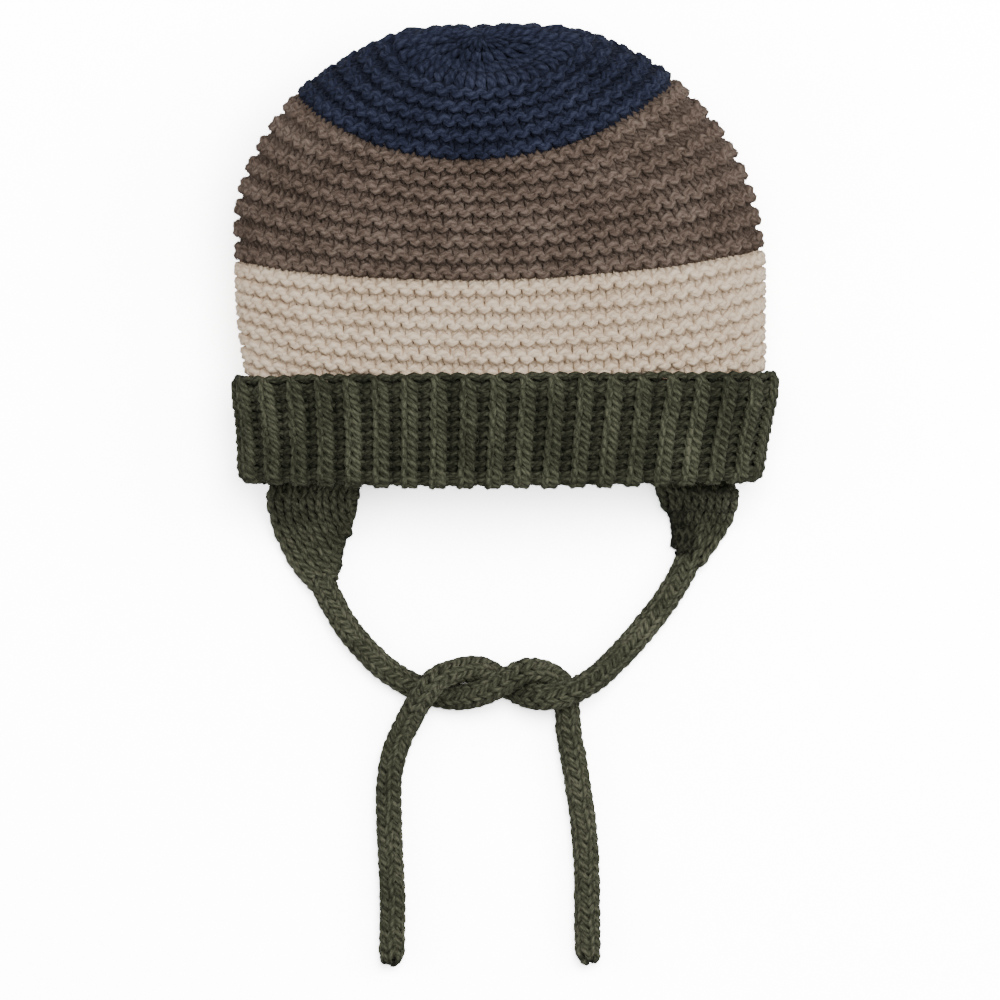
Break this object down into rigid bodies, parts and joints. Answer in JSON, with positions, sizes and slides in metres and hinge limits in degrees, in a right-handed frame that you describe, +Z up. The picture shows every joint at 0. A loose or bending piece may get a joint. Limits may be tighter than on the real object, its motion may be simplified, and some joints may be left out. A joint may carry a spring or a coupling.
{
  "type": "baby hat",
  "caption": "Knitted baby hat in wide stripes with a turned-up rib cuff, two ear flaps and tie cords crossed in a loose half knot, lying flat.",
  "frame": {"origin": "on the surface that the hat lies on, under the middle of the body", "axes": "+X the hat's right side as seen from above, +Y from the rim to the crown, +Z up from the surface"},
  "size_m": [0.1921, 0.3278, 0.0827],
  "materials": {
    "navy_wool": "matte knitted wool, soft halo",
    "taupe_wool": "matte heathered knitted wool",
    "cream_wool": "matte knitted wool",
    "green_wool": "matte heathered knitted wool"
  },
  "bodies": {
    "root": {"crown_top": "navy_wool", "band_taupe": "taupe_wool", "band_cream": "cream_wool", "cuff": "green_wool", "ear_flap_left": "green_wool", "ear_flap_right": "green_wool", "tie_left": "green_wool", "tie_right": "green_wool"}
  },
  "joints": []
}
